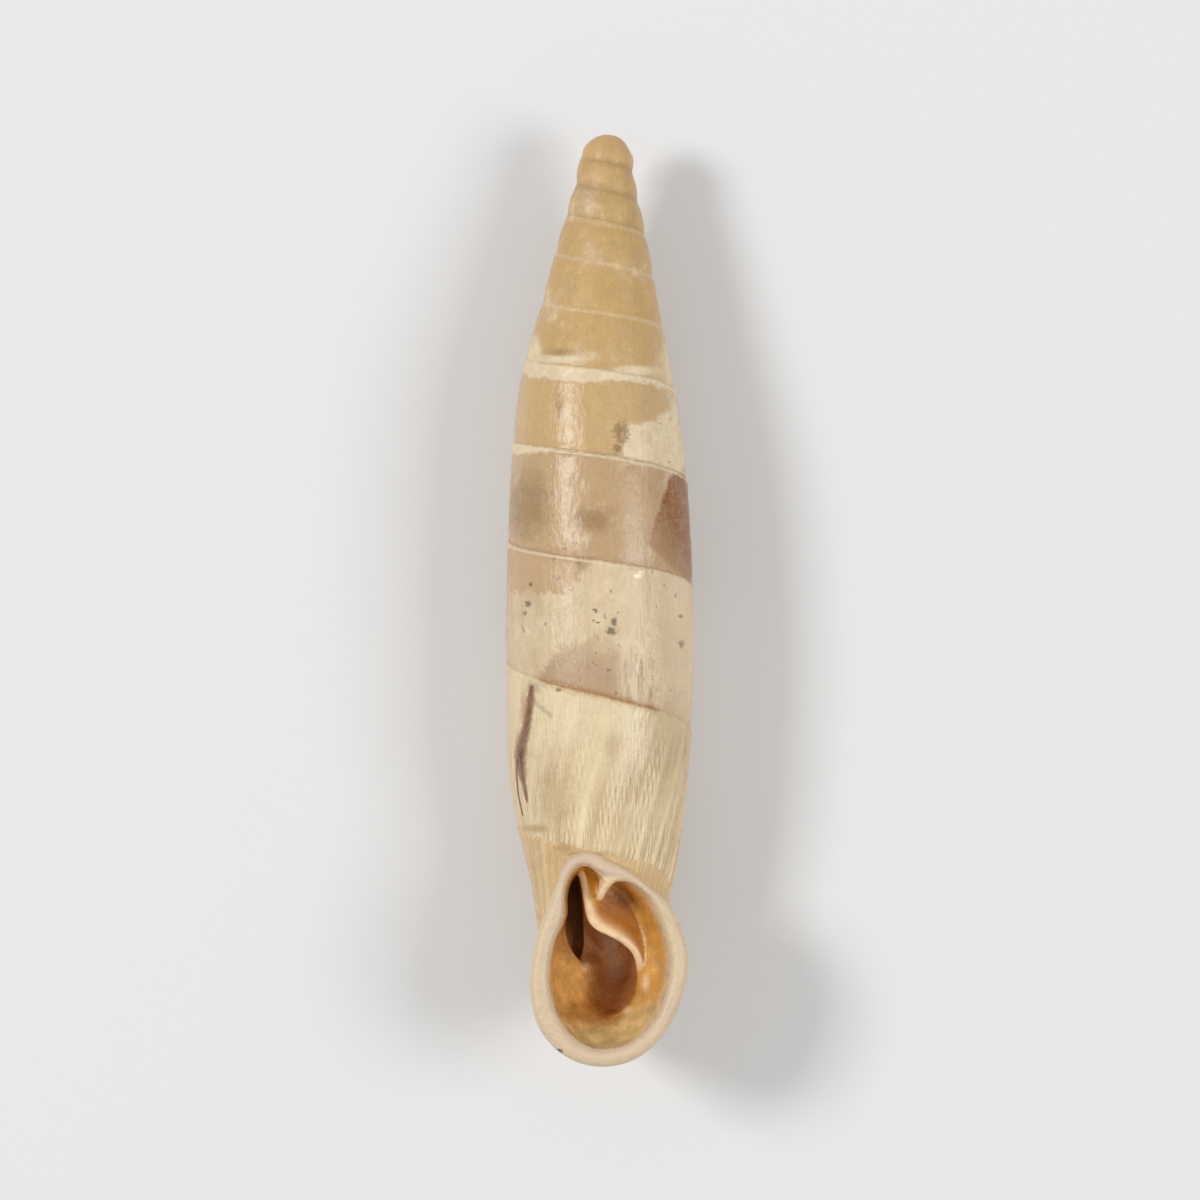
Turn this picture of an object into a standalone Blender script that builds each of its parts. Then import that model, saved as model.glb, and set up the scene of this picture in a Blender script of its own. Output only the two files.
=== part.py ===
"""Empty shell of a door snail, lying on its back with its mouth up and its tip towards +Y.

The shell is one grown piece: a left-handed coil of about ten whorls, a short neck, a thick lip
round the mouth, two folds in the mouth and the hollow tube that winds up inside.
Lengths in the named values are millimetres. The origin is under the middle of the shell, on the
surface that it lies on.
"""

import math

import bmesh
import bpy
import numpy as np

MM = 0.001

# Overall shape
LENGTH = 25.0
TIP_Y = LENGTH / 2
AXIS_HEIGHT = 2.45  # the belly is 2.5 in radius, so it rests on a worn flat 0.05 deep

# Distance of the suture below the tip, turn by turn (whole turns are at the left), then on the base
SUTURE_TURNS = [0, 1, 2, 3, 4, 5, 6, 7, 8, 9, 10, 10.25, 10.42, 10.6, 10.8, 11.2]
SUTURE_DROPS = [0.0, 0.63, 1.39, 2.22, 3.18, 4.50, 5.96, 8.17, 10.77, 14.04, 18.40, 19.30, 19.90,
                21.70, 23.10, 24.0]
BASE_DROP = 24.0

# How far the left of a suture hangs down and its top side is pushed up, as shares of the radius
LEAN_TURNS = [0, 1, 2, 3, 4, 5.25, 6.25, 7.25, 8.25, 9.25, 10, 10.4, 11.2]
HANGS_LEFT = [-0.05, -0.05, -0.045, -0.045, -0.033, -0.02, 0.042, 0.031, 0.059, 0.05, 0.079, 0.0, 0.0]
PUSHES_UP = [0.08, 0.09, 0.09, 0.10, 0.06, 0.06, 0.063, 0.079, 0.026, 0.012, 0.0, 0.0, 0.0]

# Radius of the spindle at distances below the tip
RADIUS_DROPS = [0.0, 1.1, 2.2, 3.3, 4.6, 6.2, 8.0, 10.2, 13.0, 15.6, 17.6, 19.0, 20.7, 22.0, 24.0]
RADII = [0.71, 0.79, 1.04, 1.30, 1.58, 1.97, 2.25, 2.43, 2.52, 2.49, 2.36, 2.13, 1.78, 1.70, 1.70]
TIP_ROUNDING = 0.75
BASE_ROUNDING = 3.2

# Bends of the coil's axis at distances below the tip, to the right and up towards the mouth's side
BEND_DROPS = [0.0, 2.5, 4.6, 6.5, 9.0, 14.5, 18.0, 20.6, 22.5, 24.0]
BENDS_RIGHT = [0.19, 0.09, -0.005, -0.085, -0.04, -0.005, -0.03, 0.07, 0.0, -0.1]
BENDS_UP = [0.0, 0.0, 0.0, 0.0, 0.0, 0.0, 0.0, 0.05, 0.22, 0.4]

SUTURE_DEPTH = 0.05
NOTCH_BELOW = 0.08  # widths of the groove's two sides, as shares of the whorl
NOTCH_ABOVE = 0.12
NOTCH_STARTS_DROP = 0.1
NOTCH_FULL_DROP = 0.9
NOTCH_FADES_TURN = 10.05
NOTCH_ENDS_TURN = 10.25

# Grid of the outer surface
STEPS_PER_TURN = 24
ROWS = [0.0, 0.10, 0.32, 0.62, 0.88]  # across a whorl, as shares of the way to the next suture
LAST_TURN = 11.2

# Mouth: radius of the lip's outer and inner edge at angles from +X, anticlockwise
MOUTH_X = 0.24
MOUTH_Y = -9.70
LIP_CROWN = 2.42  # height above the axis
LIP_ANGLES = [0, 30, 45, 60, 80, 90, 97, 103, 110, 116, 122, 130, 140, 155,
              180, 205, 230, 255, 280, 305, 330]
LIP_OUTER = [2.13, 2.16, 2.24, 2.27, 2.53, 2.71, 2.92, 3.01, 2.98, 2.82, 2.57, 2.35, 2.17, 2.06,
             2.06, 2.31, 2.66, 2.83, 2.75, 2.47, 2.20]
LIP_INNER = [1.635, 1.70, 1.83, 2.06, 2.20, 2.21, 2.37, 2.69, 2.65, 2.50, 2.25, 1.85, 1.635, 1.575,
             1.57, 1.735, 2.045, 2.35, 2.29, 2.00, 1.735]
LIP_SEGMENTS = 48

# Neck behind the lip: how far each side of the lip's outline is drawn in, at depths below the crown
NECK_DEPTHS = [0.0, 0.10, 0.22, 0.36, 0.62, 1.0, 1.6, 2.3, 2.8, 3.2]
NECK_LEFT = [0.24, 0.05, 0.0, 0.03, 0.24, 0.30, 0.26, 0.25, 0.50, 1.00]
NECK_RIGHT = [0.24, 0.05, 0.0, 0.03, 0.32, 0.68, 1.15, 1.55, 1.80, 2.10]
NECK_TOP = [0.16, 0.04, 0.0, 0.03, 0.28, 0.40, 0.55, 0.85, 1.40, 2.10]
NECK_BOTTOM = [0.24, 0.05, 0.0, 0.03, 0.22, 0.32, 0.45, 0.75, 1.20, 1.90]

# Mouth's hollow: how far it has come in from the lip's inner edge, a row for each depth below the
# crown and a value for each direction
INSET_DIRECTIONS = [0, 35, 65, 90, 122, 150, 180, 225, 270, 315]
INSET_DEPTHS = [-0.3, 0, 0.3, 0.6, 0.9, 1.2, 1.6, 2.1, 2.6, 2.95]
INSETS = [
    [-0.25, -0.25, -0.25, -0.25, -0.25, -0.25, -0.25, -0.25, -0.25, -0.25],
    [-0.07, -0.07, -0.07, -0.07, -0.07, -0.07, -0.07, -0.07, -0.07, -0.07],
    [0.04, 0.04, 0.04, 0.02, 0.04, 0.03, 0.03, 0.03, 0.03, 0.04],
    [0.20, 0.16, 0.22, 0.05, 0.13, 0.03, 0.10, 0.12, 0.15, 0.20],
    [0.50, 0.35, 0.36, 0.10, 0.16, 0.04, 0.22, 0.28, 0.35, 0.50],
    [0.77, 0.60, 0.45, 0.12, 0.12, 0.08, 0.40, 0.50, 0.55, 0.80],
    [0.80, 0.75, 0.55, 0.17, 0.10, 0.14, 0.66, 0.85, 0.80, 0.87],
    [0.65, 0.75, 0.65, 0.30, 0.16, 0.28, 0.92, 1.22, 0.95, 0.80],
    [0.75, 0.90, 0.90, 0.60, 0.35, 0.50, 1.05, 1.45, 1.20, 0.95],
    [1.25, 1.40, 1.60, 1.75, 1.75, 1.20, 1.35, 1.72, 1.75, 1.25],
]
NARROW_PART = (80, 150)  # directions between which the outline turns fast
NARROW_SEGMENTS = 14
WIDE_SEGMENTS = 26

# Tube that winds from the upper left of the mouth up the coil, round a solid pillar whose radius is
# a share of the shell's, and that narrows towards the mouth
WALL = 0.18
COLUMELLA_TURNS = [2, 8.6, 9.0, 9.4, 9.7, 9.9, 10.06]
COLUMELLAS = [0.12, 0.12, 0.12, 0.46, 0.58, 0.45, 0.28]
NARROWS_FROM_TURN = 9.7
NARROWED_LENGTH = 0.70
NARROWED_RADIUS = 0.64
TUBE_FIRST_TURN = 10.06
TUBE_LAST_TURN = 2.6
TUBE_STEPS_PER_TURN = 12
TUBE_SEGMENTS = 12
TUBE_SQUARENESS = 3.0

# Folds in the mouth: each station has a point of the free edge (x, y, depth below the crown),
# then the angle and depth at which its root meets the wall of the hollow
HALF_EDGE = 0.09
HALF_ROOT = 0.14
ROOT_IN_WALL = 0.09
LOWER_FOLD = [
    (-0.52, -7.30, 0.70, 108, 1.05),
    (-0.48, -7.58, 0.74, 100, 1.16),
    (-0.44, -8.06, 0.78, 88, 1.30),
    (-0.34, -8.56, 0.80, 74, 1.40),
    (-0.12, -8.84, 0.82, 62, 1.42),
    (0.25, -9.02, 0.82, 50, 1.42),
    (0.60, -9.20, 0.86, 38, 1.40),
    (0.90, -9.48, 0.96, 24, 1.30),
    (1.06, -9.85, 1.10, 8, 1.28),
    (1.10, -10.15, 1.28, -4, 1.36),
]
UPPER_FOLD = [
    (0.10, -7.68, 0.03, 87, 0.06),
    (0.02, -7.90, 0.14, 88, 0.18),
    (-0.03, -8.06, 0.36, 90, 0.40),
    (-0.04, -8.02, 0.65, 92, 0.70),
    (-0.02, -7.85, 1.05, 93, 1.10),
    (0.00, -7.60, 1.60, 94, 1.60),
]

GROUND_SIZE = (6.0, 30.0, 1.0)

SHELL_COLOUR = (0.62, 0.50, 0.34)
SHELL_ROUGHNESS = 0.38


def smooth_curve(x, xs, ys):
    """Cubic through the points (xs, ys), read at x: each slope is the mean of its neighbours'."""
    x, xs, ys = (np.asarray(values, float) for values in (x, xs, ys))
    slopes = np.gradient(ys, xs)
    k = np.clip(np.searchsorted(xs, x) - 1, 0, len(xs) - 2)
    width = xs[k + 1] - xs[k]
    t = np.clip((x - xs[k]) / width, 0, 1)
    rise = ys[k + 1] - ys[k]
    bow_start = slopes[k] * width - rise
    bow_end = rise - slopes[k + 1] * width
    return ys[k] + rise * t + t * (1 - t) * ((1 - t) * bow_start + t * bow_end)


def smooth_step(x, start, end):
    t = np.clip((x - start) / (end - start), 0, 1)
    return t * t * (3 - 2 * t)


def around_curve(angles, directions, values):
    """Smooth closed curve through values at directions, in degrees, which repeats each 360."""
    once = np.array(directions)
    return smooth_curve(angles % 360, np.concatenate([once - 360, once, once + 360]), list(values) * 3)


def spindle_radius(drop):
    """Radius of the whole shell at a distance below the tip, rounded off at both ends."""
    tip = 1 - np.clip(drop / TIP_ROUNDING, 0, 1)
    base = 1 - np.clip((BASE_DROP - drop) / BASE_ROUNDING, 0, 1)
    ends = np.sqrt(np.maximum(1 - tip**2, 0)) * np.sqrt(np.maximum(1 - base**2, 0))
    return smooth_curve(drop, RADIUS_DROPS, RADII) * ends


def suture_drop(turn):
    """Distance of the suture below the tip at a number of turns, 0 before the first."""
    even = smooth_curve(np.clip(turn, 0, LAST_TURN), SUTURE_TURNS, SUTURE_DROPS)
    left = smooth_curve(turn, LEAN_TURNS, HANGS_LEFT) * np.cos(2 * np.pi * turn)
    top = smooth_curve(turn, LEAN_TURNS, PUSHES_UP) * np.sin(2 * np.pi * turn)
    return even + (left - top) * spindle_radius(even)


def coil_point(turn, drop, radius):
    """Place at a turn of the coil. Whole turns are at the left, and a quarter on at the top."""
    angle = 2 * np.pi * (turn - 0.25)
    x = smooth_curve(drop, BEND_DROPS, BENDS_RIGHT) + radius * np.sin(angle)
    z = AXIS_HEIGHT + smooth_curve(drop, BEND_DROPS, BENDS_UP) + radius * np.cos(angle)
    return np.stack([x, TIP_Y - drop + 0 * x, z], axis=-1)


def make_object(name, points, faces):
    """Closed mesh from points in millimetres, with its normals turned outwards."""
    mesh = bpy.data.meshes.new(name)
    mesh.from_pydata([tuple(p) for p in np.asarray(points) * MM], [], faces)
    shape = bmesh.new()
    shape.from_mesh(mesh)
    bmesh.ops.remove_doubles(shape, verts=shape.verts, dist=1e-7)
    bmesh.ops.triangulate(shape, faces=shape.faces)
    bmesh.ops.recalc_face_normals(shape, faces=shape.faces)
    if shape.calc_volume(signed=True) < 0:
        bmesh.ops.reverse_faces(shape, faces=shape.faces)
    shape.to_mesh(mesh)
    shape.free()
    made = bpy.data.objects.new(name, mesh)
    bpy.context.collection.objects.link(made)
    return made


def ring_faces(rings, segments):
    """Quads between rings of a tube, and a flat cap at each end."""
    faces = []
    for ring in range(rings - 1):
        for k in range(segments):
            here = ring * segments + k
            beside = ring * segments + (k + 1) % segments
            faces.append((here, beside, beside + segments, here + segments))
    faces.append(tuple(range(segments)))
    faces.append(tuple(range((rings - 1) * segments, rings * segments)))
    return faces


def make_coil():
    """The outside of the spire and the last whorl: one strip that winds down from tip to base.

    The last row of a whorl is the first row of the one below it, a turn later.
    """
    steps = int(round((LAST_TURN + 1) * STEPS_PER_TURN))
    rows = len(ROWS)
    turn = np.arange(steps + STEPS_PER_TURN + 1)[:, None] / STEPS_PER_TURN - 1
    share = np.array(ROWS)[None, :]
    top = suture_drop(turn)
    drop = top + share * (suture_drop(turn + 1) - top)
    notch = np.exp(-share / NOTCH_BELOW) + np.exp(-(1 - share) / NOTCH_ABOVE)
    notch = notch * smooth_step(drop, NOTCH_STARTS_DROP, NOTCH_FULL_DROP)
    depth = SUTURE_DEPTH * (1 - smooth_step(turn + share, NOTCH_FADES_TURN, NOTCH_ENDS_TURN))
    radius = np.maximum(spindle_radius(drop) - depth * notch, 0)
    points = coil_point(turn, drop, radius)
    faces = []
    for step in range(steps):
        for row in range(rows):
            here = step * rows + row
            below = here + 1 if row < rows - 1 else (step + STEPS_PER_TURN) * rows
            faces.append((here, below, below + rows, here + rows))
    return make_object("coil", points.reshape(-1, 3), faces)


def mouth_ring(radius, depth, angles):
    """Level ring round the mouth's centre at a depth below the lip's crown."""
    x = MOUTH_X + radius * np.cos(np.radians(angles))
    y = MOUTH_Y + radius * np.sin(np.radians(angles))
    return np.stack([x, y, AXIS_HEIGHT + LIP_CROWN - depth + 0 * x], axis=-1)


def make_neck():
    """Lip and neck: the lip's outer outline with each of its four sides drawn in as it goes down."""
    angles = np.arange(LIP_SEGMENTS) * 360 / LIP_SEGMENTS
    rings = []
    for depth, left, right, top, bottom in zip(NECK_DEPTHS, NECK_LEFT, NECK_RIGHT, NECK_TOP, NECK_BOTTOM):
        ring = mouth_ring(around_curve(angles, LIP_ANGLES, LIP_OUTER), depth, angles)
        x, y = ring[:, 0], ring[:, 1]
        ring[:, 0] = np.interp(x, [x.min(), x.max()], [x.min() + left, x.max() - right])
        ring[:, 1] = np.interp(y, [y.min(), y.max()], [y.min() + bottom, y.max() - top])
        rings.append(ring)
    return make_object("neck", np.concatenate(rings), ring_faces(len(rings), LIP_SEGMENTS))


def inside_ring(depth, angles):
    """Outline of the mouth's hollow at a depth: the lip's inner outline less the inset."""
    insets = [smooth_curve(depth, INSET_DEPTHS, column) for column in zip(*INSETS)]
    inset = around_curve(angles, INSET_DIRECTIONS, insets)
    return mouth_ring(around_curve(angles, LIP_ANGLES, LIP_INNER) - inset, depth, angles)


def make_mouth_hollow():
    start, end = NARROW_PART
    angles = np.concatenate([np.linspace(start, end, NARROW_SEGMENTS, endpoint=False),
                             np.linspace(end, start + 360, WIDE_SEGMENTS, endpoint=False)])
    rings = [inside_ring(depth, angles) for depth in INSET_DEPTHS]
    return make_object("mouth_hollow", np.concatenate(rings), ring_faces(len(rings), len(angles)))


def tube_section(turn):
    """Section of the hollow in the plane through the shell's axis at a turn of the coil."""
    angles = np.radians(np.arange(TUBE_SEGMENTS) * 360 / TUBE_SEGMENTS)
    power = 2 / TUBE_SQUARENESS
    across = np.sign(np.cos(angles)) * np.abs(np.cos(angles)) ** power
    along = np.sign(np.sin(angles)) * np.abs(np.sin(angles)) ** power
    top = suture_drop(turn) + WALL / 2
    bottom = suture_drop(turn + 1) - WALL / 2
    near = smooth_step(turn, NARROWS_FROM_TURN, TUBE_FIRST_TURN)
    bottom = bottom + (1 - NARROWED_LENGTH) * (top - bottom) * near
    drop = (top + bottom) / 2 - along * (bottom - top) / 2
    outer = (spindle_radius(drop) - WALL) * (1 - (1 - NARROWED_RADIUS) * near)
    inner = smooth_curve(turn, COLUMELLA_TURNS, COLUMELLAS) * spindle_radius(drop)
    return coil_point(turn, drop, (outer + inner) / 2 - across * (outer - inner) / 2)


def make_coil_hollow():
    count = int((TUBE_FIRST_TURN - TUBE_LAST_TURN) * TUBE_STEPS_PER_TURN)
    rings = [tube_section(turn) for turn in np.linspace(TUBE_FIRST_TURN, TUBE_LAST_TURN, count)]
    return make_object("coil_hollow", np.concatenate(rings), ring_faces(count, TUBE_SEGMENTS))


def make_fold(name, stations):
    """Thin plate between a free edge and a root that lies inside the wall."""
    x, y, depths, angles, root_depths = np.array(stations).T
    edges = np.stack([x, y, AXIS_HEIGHT + LIP_CROWN - depths], axis=1)
    roots = np.array([inside_ring(*place)[0] for place in zip(root_depths, angles[:, None])])
    outward = np.stack([np.cos(np.radians(angles)), np.sin(np.radians(angles)), 0 * angles], axis=1)
    roots = roots + ROOT_IN_WALL * outward
    normal = np.cross(np.gradient((edges + roots) / 2, axis=0), roots - edges)
    normal = normal / np.linalg.norm(normal, axis=1, keepdims=True)
    rings = np.stack([edges + HALF_EDGE * normal, roots + HALF_ROOT * normal,
                      roots - HALF_ROOT * normal, edges - HALF_EDGE * normal], axis=1)
    return make_object(name, rings.reshape(-1, 3), ring_faces(len(stations), 4))


def make_ground():
    """Block under the shell that cuts the worn flat on its belly."""
    width, length, depth = GROUND_SIZE
    x, y = width / 2, length / 2
    ring = [(-x, -y), (x, -y), (x, y), (-x, y)]
    points = [(*corner, 0) for corner in ring] + [(*corner, -depth) for corner in ring]
    return make_object("ground", points, ring_faces(2, 4))


def add_boolean(target, tool, operation):
    change = target.modifiers.new(tool.name, "BOOLEAN")
    change.operation = operation
    change.object = tool
    change.solver = "EXACT"
    tool.hide_render = True
    tool.display_type = "WIRE"


def shell_material():
    material = bpy.data.materials.new("shell")
    material.use_nodes = True
    shader = material.node_tree.nodes["Principled BSDF"]
    shader.inputs["Base Color"].default_value = (*SHELL_COLOUR, 1)
    shader.inputs["Roughness"].default_value = SHELL_ROUGHNESS
    shader.inputs["Metallic"].default_value = 0
    return material


def main():
    for old in list(bpy.data.objects):
        bpy.data.objects.remove(old, do_unlink=True)
    shell = make_coil()
    shell.name = "shell"
    add_boolean(shell, make_neck(), "UNION")
    add_boolean(shell, make_mouth_hollow(), "DIFFERENCE")
    add_boolean(shell, make_coil_hollow(), "DIFFERENCE")
    add_boolean(shell, make_fold("lower_fold", LOWER_FOLD), "UNION")
    add_boolean(shell, make_fold("upper_fold", UPPER_FOLD), "UNION")
    add_boolean(shell, make_ground(), "DIFFERENCE")
    shell.data.materials.append(shell_material())
    shell.data.shade_smooth()
    shell.data.set_sharp_from_angle(angle=math.radians(40))


main()
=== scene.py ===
from types import SimpleNamespace

import bmesh
import bpy
import numpy as np
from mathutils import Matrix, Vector


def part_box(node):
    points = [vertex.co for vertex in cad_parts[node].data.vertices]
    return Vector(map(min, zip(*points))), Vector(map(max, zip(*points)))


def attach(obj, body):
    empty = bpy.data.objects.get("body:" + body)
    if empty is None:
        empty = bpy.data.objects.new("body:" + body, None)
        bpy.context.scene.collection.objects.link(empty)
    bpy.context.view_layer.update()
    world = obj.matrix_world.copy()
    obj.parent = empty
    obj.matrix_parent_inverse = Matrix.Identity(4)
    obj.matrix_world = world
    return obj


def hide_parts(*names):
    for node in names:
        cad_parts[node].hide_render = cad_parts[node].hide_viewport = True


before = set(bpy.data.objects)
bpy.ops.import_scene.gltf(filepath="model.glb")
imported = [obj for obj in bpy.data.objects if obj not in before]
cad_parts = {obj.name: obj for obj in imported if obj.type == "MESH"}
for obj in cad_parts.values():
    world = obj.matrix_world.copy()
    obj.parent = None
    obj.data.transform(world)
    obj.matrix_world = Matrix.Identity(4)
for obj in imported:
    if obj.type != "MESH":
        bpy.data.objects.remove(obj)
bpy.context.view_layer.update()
mm = 0.001
lowest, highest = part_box("shell")

# All lengths below are in millimetres. A turn counts whorls from the tip: whole turns are at the left,
# a quarter on is at the top, where the mouth opens. A drop is a distance below the tip along the shell.
coil = {
    "tipY": highest.y / mm,
    "baseDrop": 24.0,
    "lastTurn": 11.2,
    "sutureTurns": [0, 1, 2, 3, 4, 5, 6, 7, 8, 9, 10, 10.25, 10.42, 10.6, 10.8, 11.2],
    "sutureDrops": [0, 0.63, 1.39, 2.22, 3.18, 4.50, 5.96, 8.17, 10.77, 14.04, 18.40, 19.30, 19.90,
                    21.70, 23.10, 24.0],
    # How far the left of a suture hangs down and its top side is pushed up, over the shell's radius
    "leanTurns": [0, 1, 2, 3, 4, 5.25, 6.25, 7.25, 8.25, 9.25, 10, 10.4, 11.2],
    "hangsLeft": [-0.05, -0.05, -0.045, -0.045, -0.033, -0.02, 0.042, 0.031, 0.059, 0.05, 0.079, 0, 0],
    "pushesUp": [0.08, 0.09, 0.09, 0.10, 0.06, 0.06, 0.063, 0.079, 0.026, 0.012, 0, 0, 0],
    "radiusDrops": [0, 1.1, 2.2, 3.3, 4.6, 6.2, 8.0, 10.2, 13.0, 15.6, 17.6, 19.0, 20.7, 22.0, 24.0],
    "radii": [0.71, 0.79, 1.04, 1.30, 1.58, 1.97, 2.25, 2.43, 2.52, 2.49, 2.36, 2.13, 1.78, 1.70, 1.70],
    "tipRounding": 0.75,
    "baseRounding": 3.2,
    "bendDrops": [0, 2.5, 4.6, 6.5, 9, 14.5, 18, 20.6, 22.5, 24],
    "bendsRight": [0.19, 0.09, -0.005, -0.085, -0.04, -0.005, -0.03, 0.07, 0, -0.1],
    "bendsUp": [0, 0, 0, 0, 0, 0, 0, 0.05, 0.22, 0.4],
    "notchTurns": [0, 2.5, 4, 6, 7, 8.6, 9.2, 11.2],
    "notchDepths": [0.06, 0.06, 0.035, 0.03, 0.034, 0.034, 0.028, 0.028],
    "notchWidth": 0.10,
    "notchWidthAbove": 0.20,  # of the rounded grooves on the upper whorls
    "threadHeight": 0.020,
    "threadBelow": 0.075,
    "threadWidth": 0.045,
    "threadBeads": 0.35,
    "beads": (5, 38, 4),  # seed, slowest rate and number of sines of the beads on the thread
    "shoulder": 0.012,
    "shoulderReach": (0.5, 0.6),  # below and above the suture
    "fadeIn": (0.05, 0.5),  # distances from the tip, and from the base, over which the relief starts
    "fadeOut": (0.02, 0.8),
    "lastSuture": (10.05, 10.25),  # turns over which the grooves end
    "roundedUntil": (5.0, 6.8),  # turns over which the grooves change from rounded to sharp
    "ticksPerTurn": 480,
    "finerFrom": [-1, 5, 8],  # turns from which a turn has a quarter, half and all of its ticks
    "ticksApart": [4, 2, 1],
}
coil["axisHeight"] = highest.z / mm - max(coil["radii"])


def smoothCurve(x, xs, ys):
    # Cubic through the points (xs, ys), read at x: the straight line between two points, plus a bow at
    # each end that gives the curve the mean slope of its neighbours there.
    x, xs, ys = (np.asarray(values, float) for values in (x, xs, ys))
    slopes = np.gradient(ys, xs)
    k = np.clip(np.searchsorted(xs, x) - 1, 0, len(xs) - 2)
    width = xs[k + 1] - xs[k]
    t = np.clip((x - xs[k]) / width, 0, 1)
    rise = ys[k + 1] - ys[k]
    bowStart = slopes[k] * width - rise
    bowEnd = rise - slopes[k + 1] * width
    return ys[k] + rise * t + t * (1 - t) * ((1 - t) * bowStart + t * bowEnd)


def smoothStep(x, start, end):
    # 0 before start and 1 after end, with an S between them.
    t = np.clip((x - start) / (end - start), 0, 1)
    return t * t * (3 - 2 * t)


def wander(x, seed, slowest, count=6):
    # Wavering between about -1 and 1: a sum of sines whose rates rise by an uneven step from the slowest.
    random = np.random.default_rng(seed)
    rates = slowest * 1.37 ** np.arange(count) * random.uniform(0.9, 1.1, count)
    phases = random.uniform(0, 2 * np.pi, count)
    waves = [np.sin(2 * np.pi * rate * x + phase) for rate, phase in zip(rates, phases)]
    return sum(waves) / np.sqrt(count)


def spindleRadius(drop):
    # Smooth curve of radius over drop, times the quarter circles that round off the tip and the base.
    tip = 1 - np.clip(drop / coil["tipRounding"], 0, 1)
    base = 1 - np.clip((coil["baseDrop"] - drop) / coil["baseRounding"], 0, 1)
    ends = np.sqrt(np.maximum(1 - tip**2, 0)) * np.sqrt(np.maximum(1 - base**2, 0))
    return smoothCurve(drop, coil["radiusDrops"], coil["radii"]) * ends


def sutureDrop(turn):
    # Smooth curve of drop over turns, plus the lean of the suture: what its left hangs down times the
    # cosine of the turn, less what its top side is pushed up times the sine.
    even = smoothCurve(np.clip(turn, 0, coil["lastTurn"]), coil["sutureTurns"], coil["sutureDrops"])
    left, top = (smoothCurve(turn, coil["leanTurns"], coil[name]) for name in ("hangsLeft", "pushesUp"))
    lean = left * np.cos(2 * np.pi * turn) - top * np.sin(2 * np.pi * turn)
    return even + lean * spindleRadius(even)


def coilPoint(turn, drop, radius):
    # Circle round the bent axis: across is the sine and up is the cosine of the turn past the top.
    angle = 2 * np.pi * (turn - 0.25)
    x = smoothCurve(drop, coil["bendDrops"], coil["bendsRight"]) + radius * np.sin(angle)
    z = smoothCurve(drop, coil["bendDrops"], coil["bendsUp"]) + radius * np.cos(angle)
    return np.stack([x, coil["tipY"] - drop + 0 * x, coil["axisHeight"] + z], axis=-1)


def cells(grid):
    # The four corners of every cell of a grid of indices or of values.
    return np.stack([grid[:-1, :-1], grid[:-1, 1:], grid[1:, 1:], grid[1:, :-1]], axis=2)


# Finish of each piece's faces, in the order of their material slots while they are joined
finishOf = {
    "coil": "grownShell",
    "neck": "lipShell",
    "mouthHollow": "mouthLining",
    "coilHollow": "mouthLining",
    "lowerFold": "foldShell",
    "upperFold": "foldShell",
    "ground": "grownShell",
}
weld = 0.0001  # points closer than this, in millimetres, become one


def meshPiece(name, points, faceSets):
    # Closed mesh from points in millimetres. A face set has the corners of faces of one size, and at each
    # corner six values: a pair for each of the UV maps "turns", "seams" and "relief".
    used = np.unique(np.concatenate([corners.ravel() for corners, values in faceSets]))
    faces = sum([np.searchsorted(used, corners).tolist() for corners, values in faceSets], [])
    values = np.concatenate([values.reshape(-1, 6) for corners, values in faceSets]).astype(np.float32)
    mesh = bpy.data.meshes.new(name)
    mesh.from_pydata((points[used] * mm).tolist(), [], faces)
    for mapName, pair in (("turns", values[:, :2]), ("seams", values[:, 2:4]), ("relief", values[:, 4:])):
        layer = mesh.uv_layers.new(name=mapName, do_init=False)
        layer.uv.foreach_set("vector", pair.ravel())
    for material in materials:
        mesh.materials.append(material)
    slot = list(finishOf).index(name)
    mesh.polygons.foreach_set("material_index", np.full(len(faces), slot, np.int32))
    shape = bmesh.new()
    shape.from_mesh(mesh)
    bmesh.ops.remove_doubles(shape, verts=shape.verts, dist=weld * mm)
    bmesh.ops.triangulate(shape, faces=shape.faces)
    bmesh.ops.recalc_face_normals(shape, faces=shape.faces)
    if shape.calc_volume(signed=True) < 0:
        bmesh.ops.reverse_faces(shape, faces=shape.faces)
    shape.to_mesh(mesh)
    shape.free()
    made = bpy.data.objects.new(name, mesh)
    bpy.context.collection.objects.link(made)
    return made


ribs = {
    "perTurn": 86,
    "lean": 0.075,  # how far a rib turns back from the top of a whorl to its foot, in turns
    "turns": [0, 5, 7, 8, 9, 9.45, 10.2, 10.6, 11.2],
    "heights": [0, 0.002, 0.003, 0.004, 0.007, 0.028, 0.036, 0.030, 0.018],
    "grow": (0.1, 0.65),  # shares of a whorl over which ribs gain their full height
    "unevenness": 0.55,  # how far ribs wander from even spacing, in ribs
    "spacing": (3, 9.0, 7),  # seed, slowest rate and number of sines of that wander
    "patchy": (0.2, 1.6),  # least and most share of a rib's height
    "dents": 0.010,
    "dentsFrom": (2, 6),
}

rows = {
    "belowSuture": [0, 0.025, 0.05, 0.075, 0.10, 0.13, 0.17, 0.23],
    "aboveSuture": [0.22, 0.15, 0.10, 0.06, 0.03],
    "between": 9,
    "tightBelow": 2.2,  # whorls lower than this have their rows squeezed in proportion
}


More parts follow.
